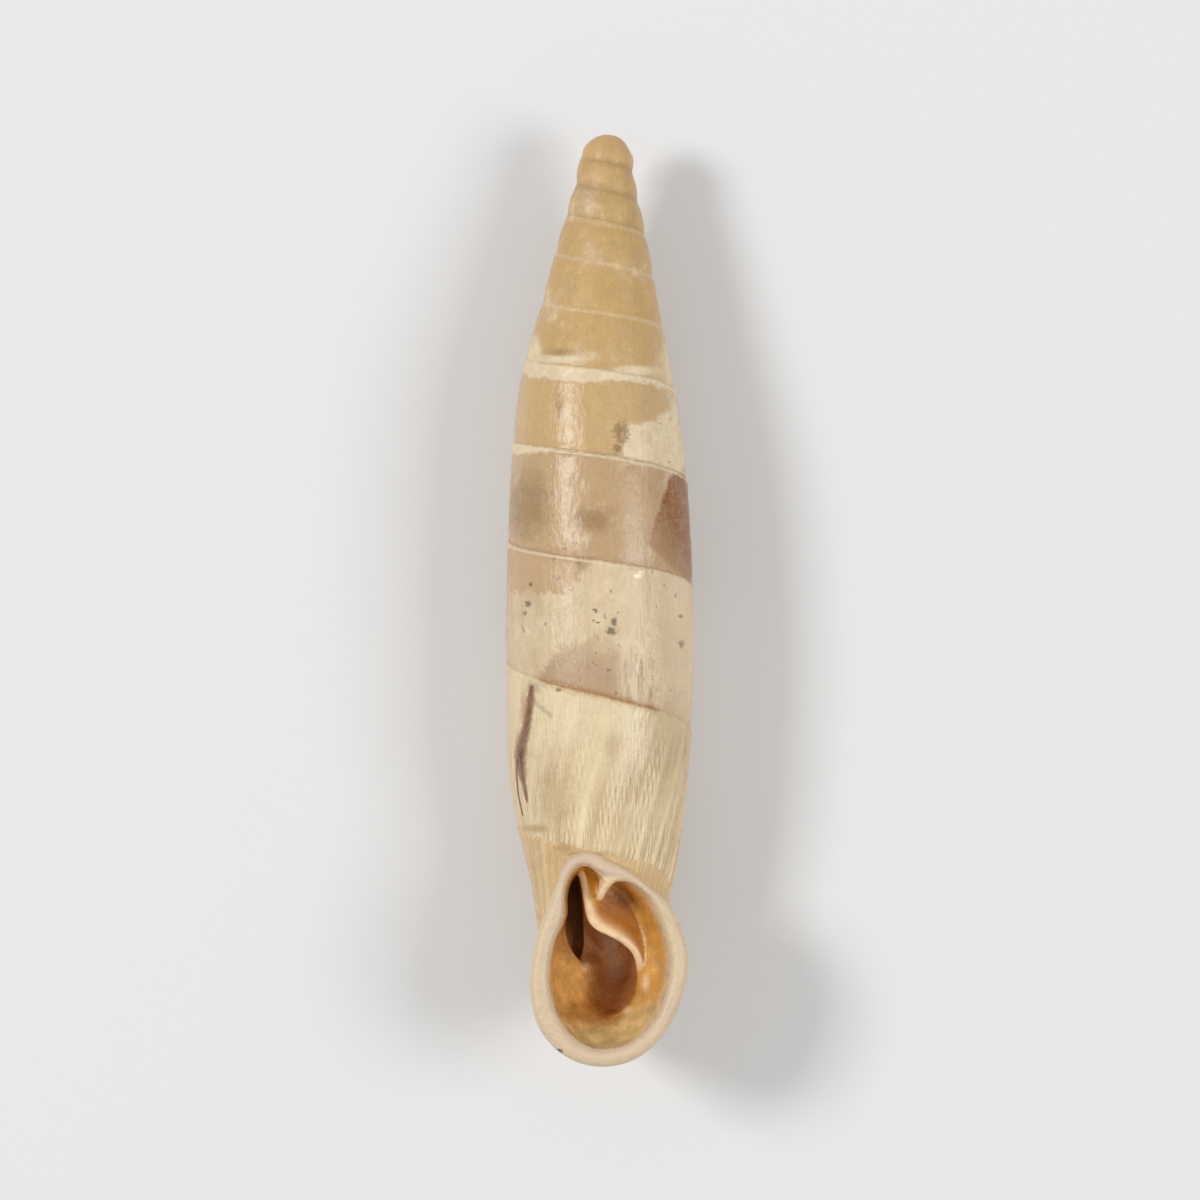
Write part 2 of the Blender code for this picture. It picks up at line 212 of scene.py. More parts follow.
def coilRelief(turn, below, above, share, drop):
    # Height added to the spindle: minus a groove at the suture, a bell curve of the distance on the upper
    # whorls and a sharp one on the lower ones, plus a bell curve for the thread just under it and a step
    # that makes each whorl start a little wider than the one above ends, plus a sine for the ribs and
    # shallow dents. Also returns the ribs' wave.
    ends = smoothStep(drop, *coil["fadeIn"]) * smoothStep(coil["baseDrop"] - drop, *coil["fadeOut"])
    late = 1 - smoothStep(turn + share, *coil["lastSuture"])
    upper = 1 - smoothStep(turn, *coil["roundedUntil"])
    wide, narrow = coil["notchWidthAbove"], coil["notchWidth"]
    rounded = np.exp(-(below / wide) ** 2) + np.exp(-(above / wide) ** 2)
    sharp = np.exp(-(below / (0.6 * narrow)) ** 2) + np.exp(-above / narrow)
    groove = smoothCurve(turn + share, coil["notchTurns"], coil["notchDepths"])
    groove = groove * (upper * rounded + (1 - upper) * sharp)
    bead = 1 + coil["threadBeads"] * wander(turn, *coil["beads"])
    thread = np.exp(-(((below - coil["threadBelow"]) / coil["threadWidth"]) ** 2)) * bead * (1 - 0.6 * upper)
    reachBelow, reachAbove = coil["shoulderReach"]
    step = np.exp(-below / reachBelow) - np.exp(-above / reachAbove)
    edge = -groove + coil["threadHeight"] * thread + coil["shoulder"] * step * (1 - upper)
    leaning = turn + ribs["lean"] * (share - 0.5)
    phase = ribs["perTurn"] * leaning + ribs["unevenness"] * wander(leaning, *ribs["spacing"])
    wave = np.sin(2 * np.pi * phase)
    strength = smoothCurve(turn, ribs["turns"], ribs["heights"])
    strength = strength * (0.4 + 0.6 * smoothStep(share, *ribs["grow"]))
    patchy = 0.8 + 0.4 * wander(turn + 0.3 * share, 8, 1.7) + 0.2 * wander(share, 9, 1.3)
    patchy = np.clip(patchy, *ribs["patchy"])
    dents = ribs["dents"] * wander(turn * 5 + 1.7 * share, 11, 0.9) * wander(drop, 12, 0.35)
    relief = ends * (late * edge + strength * patchy * wave + dents * smoothStep(turn, *ribs["dentsFrom"]))
    return relief, wave * patchy


def makeCoil():
    # One strip that winds down from tip to base. Its foot is the first row of the turn below, so that the
    # whorls share their suture. Lower turns have more columns, and where their number doubles, a cell
    # takes the extra point into its foot.
    perTurn = coil["ticksPerTurn"]
    lastTick = round((coil["lastTurn"] + 1) * perTurn)
    starts = [round(turn * perTurn) for turn in coil["finerFrom"]] + [lastTick + 1]
    ticks = np.concatenate([np.arange(start, stop, apart) for start, stop, apart
                            in zip(starts[:-1], starts[1:], coil["ticksApart"])])
    turn = ticks[:, None] / perTurn
    top, bottom = sutureDrop(turn), sutureDrop(turn + 1)
    squeeze = np.minimum((bottom - top) / rows["tightBelow"], 1)
    upper, lower = np.array(rows["belowSuture"]), np.array(rows["aboveSuture"])
    middle = np.linspace(0, 1, rows["between"] + 2)[1:-1]
    high, low = top + squeeze * upper, bottom - squeeze * lower
    drop = np.hstack([high, high[:, -1:] + middle * (low[:, :1] - high[:, -1:]), low])
    height = np.maximum(bottom - top, 1e-6)
    below, above = drop - top, bottom - drop
    share = below / height
    relief, wave = coilRelief(turn, below, above, share, drop)
    radius = np.maximum(spindleRadius(drop) + relief, 0)
    points = coilPoint(turn, drop, radius)

    count, rowCount = drop.shape
    columnAt = np.zeros(lastTick + perTurn + 1, int)
    columnAt[ticks + perTurn] = np.arange(count)
    strip = ticks <= round(coil["lastTurn"] * perTurn)
    foot = columnAt[ticks[strip] + 2 * perTurn]
    grid = np.hstack([np.arange(count * rowCount).reshape(count, rowCount)[strip], foot[:, None] * rowCount])
    values = np.stack(np.broadcast_arrays(turn, share, below, above, wave, drop), axis=-1)[strip]
    footValues = np.stack([turn, turn * 0 + 1, height, turn * 0, wave[:, -1:], bottom], axis=-1)[strip]
    values = np.hstack([values, footValues])
    quads, quadValues = cells(grid), cells(values)
    doubled = np.nonzero(np.diff(foot) == 2)[0]
    split, splitValues = quads[doubled, -1], quadValues[doubled, -1]
    extra = (foot[doubled, None] + 1) * rowCount
    fives = np.hstack([split[:, :2], extra, split[:, 2:]])
    extraValues = splitValues[:, 1:3].mean(axis=1, keepdims=True)
    fiveValues = np.hstack([splitValues[:, :2], extraValues, splitValues[:, 2:]])
    plain = np.ones(quads.shape[:2], bool)
    plain[doubled, -1] = False
    sets = [(quads[plain], quadValues[plain]), (fives, fiveValues)]
    return meshPiece("coil", points.reshape(-1, 3), sets)


lip = {
    "centre": (0.24, -9.70),
    "crownHeight": coil["axisHeight"] + 2.42,
    # Outlines of the rolled lip: distances from the centre at angles from the right, against the clock
    "angles": [0, 30, 45, 60, 80, 90, 97, 103, 110, 116, 122,
               130, 140, 155, 180, 205, 230, 255, 280, 305, 330],
    "outer": [2.13, 2.16, 2.24, 2.27, 2.53, 2.71, 2.92, 3.01, 2.98, 2.82, 2.57,
              2.35, 2.17, 2.06, 2.06, 2.31, 2.66, 2.83, 2.75, 2.47, 2.20],
    "inner": [1.635, 1.70, 1.83, 2.06, 2.20, 2.21, 2.37, 2.69, 2.65, 2.50, 2.25,
              1.85, 1.635, 1.575, 1.57, 1.735, 2.045, 2.35, 2.29, 2.00, 1.735],
    "rollHeight": 0.22,
    "rollFrom": 14,  # degrees of the roll's half ellipse that are left out inside the mouth
    "rollRings": 26,
    "segments": 200,
    # How far each side of the outline is drawn in, at depths below the crown
    "depths": [0.22, 0.36, 0.62, 1.0, 1.6, 2.3, 2.8, 3.2],
    "left": [0, 0.03, 0.24, 0.30, 0.26, 0.25, 0.50, 1.00],
    "right": [0, 0.03, 0.32, 0.68, 1.15, 1.55, 1.80, 2.10],
    "top": [0, 0.03, 0.28, 0.40, 0.55, 0.85, 1.40, 2.10],
    "bottom": [0, 0.03, 0.22, 0.32, 0.45, 0.75, 1.20, 1.90],
    "neckRings": 46,
}

hollow = {
    # How far the inside has come in from the lip's inner outline: a row for each depth below the crown,
    # a value for each direction
    "directions": [0, 35, 65, 90, 122, 150, 180, 225, 270, 315],
    "depths": [-0.3, 0, 0.3, 0.6, 0.9, 1.2, 1.6, 2.1, 2.6, 2.95],
    "insets": [
        [-0.25, -0.25, -0.25, -0.25, -0.25, -0.25, -0.25, -0.25, -0.25, -0.25],
        [-0.07, -0.07, -0.07, -0.07, -0.07, -0.07, -0.07, -0.07, -0.07, -0.07],
        [0.04, 0.04, 0.04, 0.02, 0.04, 0.03, 0.03, 0.03, 0.03, 0.04],
        [0.20, 0.16, 0.22, 0.05, 0.13, 0.03, 0.10, 0.12, 0.15, 0.20],
        [0.50, 0.35, 0.36, 0.10, 0.16, 0.04, 0.22, 0.28, 0.35, 0.50],
        [0.77, 0.60, 0.45, 0.12, 0.12, 0.08, 0.40, 0.50, 0.55, 0.80],
        [0.80, 0.75, 0.55, 0.17, 0.10, 0.14, 0.66, 0.85, 0.80, 0.87],
        [0.65, 0.75, 0.65, 0.30, 0.16, 0.28, 0.92, 1.22, 0.95, 0.80],
        [0.75, 0.90, 0.90, 0.60, 0.35, 0.50, 1.05, 1.45, 1.20, 0.95],
        [1.25, 1.40, 1.60, 1.75, 1.75, 1.20, 1.35, 1.72, 1.75, 1.25],
    ],
    "mouthRings": 60,
    "arcs": [(80, 150, 28), (150, 440, 58)],  # start and end in degrees and number of points
    "segments": 48,
    "ductTurns": [9.7, 10.06],  # turns between which the tube narrows towards the mouth
    "ductShare": 0.70,
    "ductNarrower": 0.36,
    "wall": 0.18,
    "pillarTurns": [2, 8.6, 9.0, 9.4, 9.7, 9.9, 10.06],  # turns for the solid pillar in the middle
    "pillars": [0.12, 0.12, 0.12, 0.46, 0.58, 0.45, 0.28],  # and its radius there, as a share of the shell's
    "firstTurn": 10.06,
    "lastTurn": 2.6,
    "sectionsPerTurn": 26,
    "squareness": 3.0,
}


def aroundCurve(degrees, directions, values):
    # Smooth closed curve through values at directions, in degrees, which repeats each 360.
    once = np.array(directions)
    return smoothCurve(degrees % 360, np.concatenate([once - 360, once, once + 360]), list(values) * 3)


def mouthRing(radius, depth, degrees):
    # Level ring at a depth below the crown: cosine and sine of its radius round the mouth's centre.
    x = lip["centre"][0] + radius * np.cos(np.radians(degrees))
    y = lip["centre"][1] + radius * np.sin(np.radians(degrees))
    return np.stack([x, y, lip["crownHeight"] - depth + 0 * x], axis=-1)


def neckRing(depth, degrees):
    # Outer outline of the lip, stretched so that each of its four sides comes in by its own amount.
    ring = mouthRing(aroundCurve(degrees, lip["angles"], lip["outer"]), depth, degrees)
    left, right, top, bottom = (smoothCurve(depth, lip["depths"], lip[side])
                                for side in ("left", "right", "top", "bottom"))
    x, y = ring[:, 0], ring[:, 1]
    ring[:, 0] = np.interp(x, [x.min(), x.max()], [x.min() + left, x.max() - right])
    ring[:, 1] = np.interp(y, [y.min(), y.max()], [y.min() + bottom, y.max() - top])
    return ring


def insideRing(depth, degrees):
    # Inner outline of the lip less the inset, which is read between the rows of depths.
    insets = [smoothCurve(depth, hollow["depths"], column) for column in zip(*hollow["insets"])]
    inset = aroundCurve(degrees, hollow["directions"], insets)
    return mouthRing(aroundCurve(degrees, lip["angles"], lip["inner"]) - inset, depth, degrees)


farFromSuture = 9  # stands in for the distance from a groove where there is none


def tubePiece(name, rings):
    # Rings of points joined into a tube with a flat cap at each end. Its values are the shares along and
    # round it.
    count, segments = rings.shape[:2]
    grid = np.arange(count * segments).reshape(count, segments)
    grid = np.hstack([grid, grid[:, :1]])
    along, around = np.meshgrid(np.linspace(0, 1, count), np.linspace(0, 1, segments + 1), indexing="ij")
    far, none = along * 0 + farFromSuture, along * 0
    values = np.stack([along, around, far, far, none, none], axis=-1)
    sets = [(cells(grid).reshape(-1, 4), cells(values).reshape(-1, 4, 6))]
    for end in (0, -1):
        sets.append((grid[end:end + 1 or None, :-1], values[end:end + 1 or None, :-1]))
    return meshPiece(name, rings.reshape(-1, 3), sets)


def makeNeck():
    # Lip and neck. The lip is half an ellipse that rolls from the inner outline over the crown to the
    # outer one, and the neck follows the drawn-in outer outline down into the last whorl.
    degrees = np.arange(lip["segments"]) * 360 / lip["segments"]
    outer = aroundCurve(degrees, lip["angles"], lip["outer"])
    inner = aroundCurve(degrees, lip["angles"], lip["inner"])
    rings = []
    for angle in np.radians(np.linspace(lip["rollFrom"], 180, lip["rollRings"])):
        across = (1 + np.cos(angle)) / 2
        depth = lip["rollHeight"] * (1 - np.sin(angle))
        rings.append(mouthRing(outer + across * (inner - outer), depth, degrees))
    for depth in np.linspace(lip["depths"][0], lip["depths"][-1], lip["neckRings"])[1:]:
        rings.append(neckRing(depth, degrees))
    return tubePiece("neck", np.array(rings))


def hollowSection(turn, segments):
    # Rounded square between the sutures and between the wall and the pillar, in the plane through the
    # coil's axis. Near the mouth it narrows to its upper part.
    angles = 2 * np.pi * np.arange(segments) / segments
    power = 2 / hollow["squareness"]
    across = np.sign(np.cos(angles)) * np.abs(np.cos(angles)) ** power
    along = np.sign(np.sin(angles)) * np.abs(np.sin(angles)) ** power
    top = sutureDrop(turn) + hollow["wall"] / 2
    bottom = sutureDrop(turn + 1) - hollow["wall"] / 2
    near = smoothStep(turn, *hollow["ductTurns"])
    bottom = bottom + (1 - hollow["ductShare"]) * (top - bottom) * near
    drop = (top + bottom) / 2 - along * (bottom - top) / 2
    outer = (spindleRadius(drop) - hollow["wall"]) * (1 - hollow["ductNarrower"] * near)
    inner = smoothCurve(turn, hollow["pillarTurns"], hollow["pillars"]) * spindleRadius(drop)
    return coilPoint(turn, drop, (outer + inner) / 2 - across * (outer - inner) / 2)


def finerRings(rings, steps):
    # Cubic through rings of points, read at steps places from each ring to the next.
    place = np.linspace(0, len(rings) - 1, (len(rings) - 1) * steps + 1)
    k = np.minimum(place.astype(int), len(rings) - 2)
    t = (place - k)[:, None, None]
    slopes = np.gradient(rings, axis=0)
    rise = rings[k + 1] - rings[k]
    return rings[k] + rise * t + t * (1 - t) * ((1 - t) * (slopes[k] - rise) + t * (rise - slopes[k + 1]))


def makeMouthHollow():
    # Level rings from above the crown down to the floor of the mouth, closer where the outline turns fast.
    degrees = np.concatenate([np.linspace(*arc, endpoint=False) for arc in hollow["arcs"]])
    depths = np.linspace(hollow["depths"][0], hollow["depths"][-1], hollow["mouthRings"])
    return tubePiece("mouthHollow", np.array([insideRing(depth, degrees) for depth in depths]))


def makeCoilHollow():
    # The tube that winds up the coil from the upper left of the mouth.
    count = int((hollow["firstTurn"] - hollow["lastTurn"]) * hollow["sectionsPerTurn"])
    turns = np.linspace(hollow["firstTurn"], hollow["lastTurn"], count)
    return tubePiece("coilHollow", np.array([hollowSection(turn, hollow["segments"]) for turn in turns]))


folds = {
    "stepsBetween": 8,
    "rootInWall": 0.09,
    "shares": [0, 0.012, 0.04, 0.09, 0.16, 0.26, 0.40, 0.60, 0.80, 1],  # of the way from edge to root
    # Half thickness at those shares, and stations along the fold: its free edge (x, y and depth below
    # the crown), then the angle and the depth at which its root meets the wall
    "lower": {"halves": [0, 0.045, 0.08, 0.11, 0.12, 0.10, 0.09, 0.10, 0.13, 0.19], "stations": [
        (-0.52, -7.30, 0.70, 108, 1.05), (-0.48, -7.58, 0.74, 100, 1.16), (-0.44, -8.06, 0.78, 88, 1.30),
        (-0.34, -8.56, 0.80, 74, 1.40), (-0.12, -8.84, 0.82, 62, 1.42), (0.25, -9.02, 0.82, 50, 1.42),
        (0.60, -9.20, 0.86, 38, 1.40), (0.90, -9.48, 0.96, 24, 1.30), (1.06, -9.85, 1.10, 8, 1.28),
        (1.10, -10.15, 1.28, -4, 1.36)]},
    "upper": {"halves": [0, 0.04, 0.07, 0.08, 0.085, 0.09, 0.10, 0.12, 0.14, 0.17], "stations": [
        (0.10, -7.68, 0.03, 87, 0.06), (0.02, -7.90, 0.14, 88, 0.18), (-0.03, -8.06, 0.36, 90, 0.40),
        (-0.04, -8.02, 0.65, 92, 0.70), (-0.02, -7.85, 1.05, 93, 1.10), (0.00, -7.60, 1.60, 94, 1.60)]},
}


def makeFold(name):
    # Plate between a free edge and a root inside the wall. Its profile, carried along, is the half
    # thickness to one side from edge to root and to the other side back again.
    fold = folds[name]
    x, y, depth, degrees, rootDepth = np.array(fold["stations"]).T
    edge = np.column_stack([x, y, lip["crownHeight"] - depth])
    root = np.array([insideRing(*place)[0] for place in zip(rootDepth, degrees[:, None])])
    outward = np.column_stack([np.cos(np.radians(degrees)), np.sin(np.radians(degrees)), 0 * degrees])
    lines = finerRings(np.stack([edge, root + folds["rootInWall"] * outward], axis=1), folds["stepsBetween"])
    edge, across = lines[:, 0], lines[:, 1] - lines[:, 0]
    normal = np.cross(np.gradient(edge + across / 2, axis=0), across)
    normal = normal / np.linalg.norm(normal, axis=1, keepdims=True)
    along = np.array(folds["shares"] + folds["shares"][:0:-1])
    lift = np.concatenate([fold["halves"], -np.array(fold["halves"][:0:-1])])
    rings = edge[:, None] + along[:, None] * across[:, None] + lift[:, None] * normal[:, None]
    return tubePiece(name + "Fold", rings)


ground = {"halfWidth": 3.0, "halfLength": 15.0, "thickness": 1.0}


def makeGround():
    # Block under the shell that cuts the worn flat on its belly: four corners at the floor and below it.
    corners = np.array([(-1, -1), (1, -1), (1, 1), (-1, 1)]) * (ground["halfWidth"], ground["halfLength"])
    rings = [np.column_stack([corners, np.full(4, height)]) for height in (0.0, -ground["thickness"])]
    return tubePiece("ground", np.array(rings))


def addBoolean(target, tool, operation):
    # Both meshes are closed, so the sum or the difference of their volumes is closed too.
    change = target.modifiers.new(tool.name, "BOOLEAN")
    change.operation = operation
    change.object = tool
    change.solver = "MANIFOLD"


joins = {
    "reach": 0.16,
    "betweenHollows": 2.0,  # times as far where one hollow opens into the other
    "onFolds": 0.6,
    "spreads": 12,
    "rounds": 40,
    "move": 0.5,
    "sliver": 0.0002,
}


def dropSlivers(mesh):
    # Closes edges shorter than a sliver, which the joins leave, so that no face is without area.
    shape = bmesh.new()
    shape.from_mesh(mesh)
    bmesh.ops.dissolve_degenerate(shape, edges=shape.edges, dist=joins["sliver"] * mm)
    bmesh.ops.triangulate(shape, faces=shape.faces)
    shape.to_mesh(mesh)
    shape.free()


def softenJoins(mesh):
    # Rounds the edges where pieces meet. Each point moves to the mean of its neighbours, again and again,
    # by a share that falls from 1 on a join to 0 at the reach from it, measured along the edges. Returns
    # the slot of each face.
    def read(items, name, size=1, kind=int):
        values = np.empty(len(items) * size, kind)
        items.foreach_get(name, values)
        return values

    points = read(mesh.vertices, "co", 3, float).reshape(-1, 3) / mm
    first, second = read(mesh.edges, "vertices", 2).reshape(-1, 2).T
    slots = read(mesh.polygons, "material_index")
    corners = read(mesh.loops, "vertex_index")
    slotAtCorner = np.repeat(slots, read(mesh.polygons, "loop_total"))
    least, most = np.full(len(points), len(finishOf)), np.full(len(points), -1)
    np.minimum.at(least, corners, slotAtCorner)
    np.maximum.at(most, corners, slotAtCorner)
    mouthSlot, coilSlot, foldSlot = (list(finishOf).index(name)
                                     for name in ("mouthHollow", "coilHollow", "lowerFold"))
    share = (least != most) * np.where(most < foldSlot, 1, joins["onFolds"])
    share = np.where((least == mouthSlot) & (most == coilSlot), joins["betweenHollows"], share)
    length = np.linalg.norm(points[first] - points[second], axis=1) / joins["reach"]
    for spread in range(joins["spreads"]):
        before = share.copy()
        np.maximum.at(share, first, before[second] - length)
        np.maximum.at(share, second, before[first] - length)
    share = smoothStep(share, 0, 1)[:, None]
    neighbours = np.bincount(np.concatenate([first, second]), minlength=len(points))[:, None]
    for smoothing in range(joins["rounds"]):
        total = np.stack([np.bincount(first, points[second, axis], len(points)) +
                          np.bincount(second, points[first, axis], len(points)) for axis in range(3)], axis=1)
        points += joins["move"] * share * (total / neighbours - points)
    mesh.vertices.foreach_set("co", (points * mm).ravel())
    return slots


class Shade:
    # Wraps one socket of a material's nodes, so that masks are added and multiplied as numbers are.
    def __init__(self, tree, socket):
        self.tree = tree
        self.socket = socket

    def node(self, kind, settings, inputs, output=0):
        # Settings go first, because some of them change the sockets.
        made = self.tree.nodes.new(kind)
        for name, value in settings.items():
            if name == "stops":
                while len(made.color_ramp.elements) < len(value):
                    made.color_ramp.elements.new(1)
                for element, (position, stopColour) in zip(made.color_ramp.elements, value):
                    element.position, element.color = position, stopColour
            else:
                setattr(made, name, value)
        for name, value in inputs.items():
            if isinstance(value, Shade):
                self.tree.links.new(value.socket, made.inputs[name])
            else:
                made.inputs[name].default_value = value
        return Shade(self.tree, made.outputs[output])

    def math(self, operation, *values, clamp=False):
        settings = {"operation": operation, "use_clamp": clamp}
        return self.node("ShaderNodeMath", settings, dict(enumerate(values)))

    def __add__(self, other):
        return self.math("ADD", self, other)

    def __sub__(self, other):
        return self.math("SUBTRACT", self, other)

    def __rsub__(self, other):
        return self.math("SUBTRACT", other, self)

    def __mul__(self, other):
        return self.math("MULTIPLY", self, other)

    def __truediv__(self, other):
        return self.math("DIVIDE", self, other)

    def __pow__(self, other):
        return self.math("POWER", self, other)

    __radd__ = __add__
    __rmul__ = __mul__

    def most(self, other):
        return self.math("MAXIMUM", self, other)

    def least(self, other):
        return self.math("MINIMUM", self, other)

    def step(self, start, end):
        # 0 before start and 1 after end, with an S between them.
        inputs = {"Value": self, "From Min": start, "From Max": end}
        return self.node("ShaderNodeMapRange", {"interpolation_type": "SMOOTHSTEP"}, inputs)

    def vector(self, operation, *values, output=0):
        inputs = dict(enumerate([self, *values]))
        return self.node("ShaderNodeVectorMath", {"operation": operation}, inputs, output)

    def scaled(self, amount):
        return self.node("ShaderNodeVectorMath", {"operation": "SCALE"}, {0: self, "Scale": amount})

    def parts(self):
        return [self.node("ShaderNodeSeparateXYZ", {}, {0: self}, axis) for axis in range(3)]

    def noise(self, scale, detail=3.0, roughness=0.55):
        # Clouds between about -0.3 and 0.3.
        inputs = {"Vector": self, "Scale": scale, "Detail": detail, "Roughness": roughness}
        return self.node("ShaderNodeTexNoise", {}, inputs) - 0.5

    def map(self, name):
        return self.node("ShaderNodeUVMap", {"uv_map": name}, {})

    def mix(self, first, second):
        # Self is the share of the second colour.
        return self.node("ShaderNodeMix", {"data_type": "RGBA"}, {0: self, 6: first, 7: second}, 2)

    def tint(self, amount):
        # A colour times a grey amount.
        grey = self.node("ShaderNodeCombineXYZ", {}, {0: amount, 1: amount, 2: amount})
        return self.vector("MULTIPLY", grey)


def colour(red, green, blue):
    # Screen values from 0 to 255 as the light that shaders mix.
    return (*[((value / 255 + 0.055) / 1.055) ** 2.4 for value in (red, green, blue)], 1.0)


def startFinish(name):
    # New material, and the point on the piece in millimetres.
    made = bpy.data.materials.new(name)
    made.use_nodes = True
    start = Shade(made.node_tree, None)
    return made, start.node("ShaderNodeTexCoord", {}, {}, "Object").scaled(1 / mm)


def endFinish(made, paintColour, roughness, height, coat, constants):
    # Links what changes over the surface and sets what stays the same. Height is in millimetres.
    shader = made.node_tree.nodes["Principled BSDF"]
    bump = paintColour.node("ShaderNodeBump", {}, {"Strength": 1.0, "Distance": mm, "Height": height})
    inputs = {"Base Color": paintColour, "Roughness": roughness, "Normal": bump, "Coat Weight": coat}
    for name, value in {**inputs, **constants}.items():
        if isinstance(value, Shade):
            made.node_tree.links.new(value.socket, shader.inputs[name])
        else:
            shader.inputs[name].default_value = value
    return made


gloss = {"Specular IOR Level": 0.4, "Coat Roughness": 0.2}


def patches(place, ovals, waver, boxy=False):
    # Greatest of ovals: 1 where the distance from the centre, with across and along each divided by its
    # half width, plus a waver, is less than 1. Boxy ones take the fourth root of the sum of fourth powers.
    found = None
    for x, y, halfWidth, halfHeight, soft in ovals:
        offset = place.vector("SUBTRACT", (x, y, 0)).vector("MULTIPLY", (1 / halfWidth, 1 / halfHeight, 0))
        if boxy:
            distance = offset.vector("MULTIPLY", offset).vector("LENGTH", output="Value") ** 0.5
        else:
            distance = offset.vector("LENGTH", output="Value")
        inside = 1 - (distance + waver).step(1 - soft, 1 + soft)
        found = inside if found is None else found.most(inside)
    return found


def lines(place, chain, waver):
    # Greatest of lines from point to point of a chain. Each line's mask falls from its middle to its half
    # width, with the distance measured to the nearest point between its two ends.
    flat = place.vector("MULTIPLY", (1, 1, 0))
    found = None
    for (x, y, halfWidth), (nextX, nextY, nextWidth) in zip(chain[:-1], chain[1:]):
        across, along = nextX - x, nextY - y
        square = across**2 + along**2
        offset = flat.vector("SUBTRACT", (x, y, 0))
        share = offset.vector("DOT_PRODUCT", (across / square, along / square, 0), output="Value")
        share = share.math("ADD", share, 0, clamp=True)
        near = share.node("ShaderNodeCombineXYZ", {}, {0: share * across, 1: share * along})
        distance = offset.vector("SUBTRACT", near).vector("LENGTH", output="Value")
        width = halfWidth + share * (nextWidth - halfWidth)
        inside = 1 - (distance / width + waver).step(0.2, 1.6)
        found = inside if found is None else found.most(inside)
    return found


skin = {
    # Colour of the skin by turn
    "byTurn": [(0.0, (205, 166, 114)), (2.2, (196, 162, 108)), (4.6, (200, 164, 106)),
               (5.9, (201, 167, 114)), (6.7, (203, 172, 126)), (7.0, (196, 164, 121)),
               (7.5, (187, 154, 114)), (7.9, (197, 168, 130)), (8.15, (214, 191, 154)),
               (8.6, (225, 203, 166)), (9.3, (231, 212, 172)), (10.2, (220, 188, 136))],
    "rampTurns": 12,
    "worn": (229, 209, 173),
    # Rosy tint: partly rosy clouds, partly a painted reflection low on the sides
    "rosy": (216, 184, 160),
    # Colour of the painted highlight streaks
    "highlightStreak": (244, 232, 204),
    "chip": (250, 242, 218),
    "brown": (132, 98, 54),
    "darkBrown": (88, 78, 62),
    "red": (134, 74, 18),
    "taupe": (182, 150, 118),
    "taupeLight": (198, 165, 125),
    "grey": (199, 171, 138),
    "shade": (148, 114, 74),
    "golden": (166, 122, 74),
    "thread": (232, 212, 178),
    "groove": (160, 126, 88),
    # Darker colour for the valleys between the ribs
    "ribValley": (192, 155, 104),
    "smudge": (186, 156, 118),
    "scar": (98, 54, 28),
    "halo": (176, 136, 98),
    "ash": (148, 132, 116),
    # Darker band just above the lip's top edge
    "darkAboveLip": (176, 136, 86),
    "spur": (146, 118, 104),
    # Clouds: scale for each millimetre, detail and roughness
    "clouds": {"broad": (0.7, 3.0, 0.55), "ragged": (2.6, 5.0, 0.62), "grain": (11.0, 4.0, 0.6),
               "dust": (42.0, 2.0, 0.55), "speckClouds": (5.0, 1.0, 0.55)},
    # Lines across the whorls, finer along the turn than down the whorl, and their roughness
    "growth": ((58.0, 1.4, 1), 0.6),
    "hairs": ((260.0, 2.6, 1), 0.65),
    "facingUp": (-0.2, 0.5),  # heights over the axis between which the upper side begins
}

